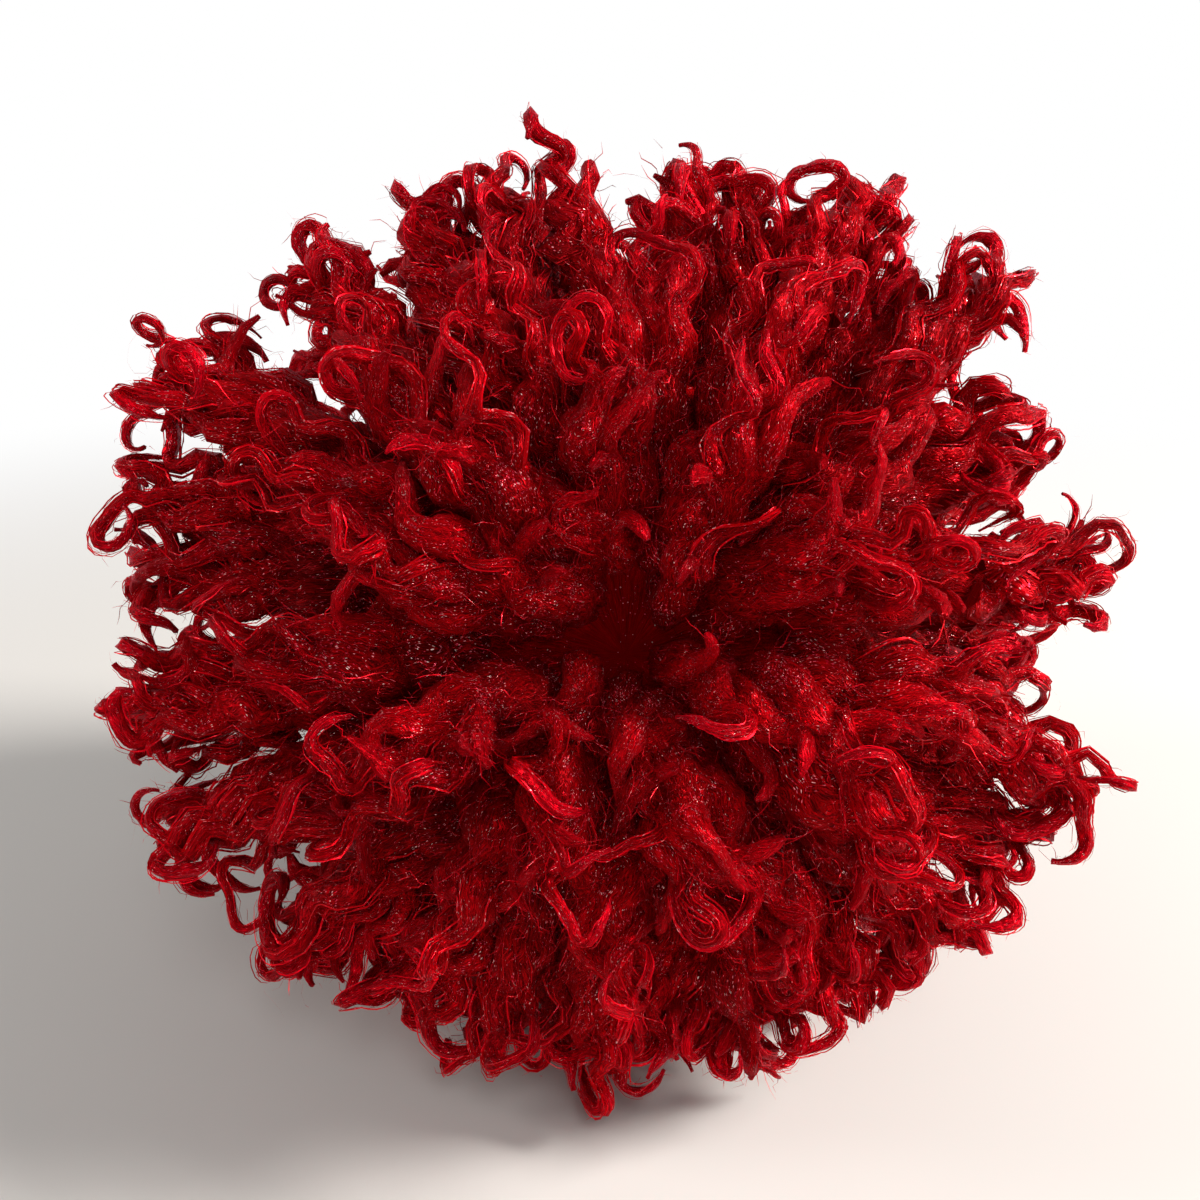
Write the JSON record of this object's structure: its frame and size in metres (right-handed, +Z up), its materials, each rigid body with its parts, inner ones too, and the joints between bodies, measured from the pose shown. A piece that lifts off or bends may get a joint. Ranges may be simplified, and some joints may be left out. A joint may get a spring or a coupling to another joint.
{
  "type": "faux fur pom pom",
  "caption": "Round pom pom of long curly faux fur, its locks standing out all round from the middle in tufts with curled ends, flat where it rests.",
  "frame": {"origin": "middle of the flat foot that the ball rests on", "axes": "+Z up through the ball's middle, -Y the full front, +X to the right seen from the front"},
  "size_m": [0.158, 0.1561, 0.1516],
  "materials": {
    "curly_fur": "glossy curly acrylic pile, deep crimson"
  },
  "bodies": {
    "root": {"fur_ball": "curly_fur"}
  },
  "joints": []
}
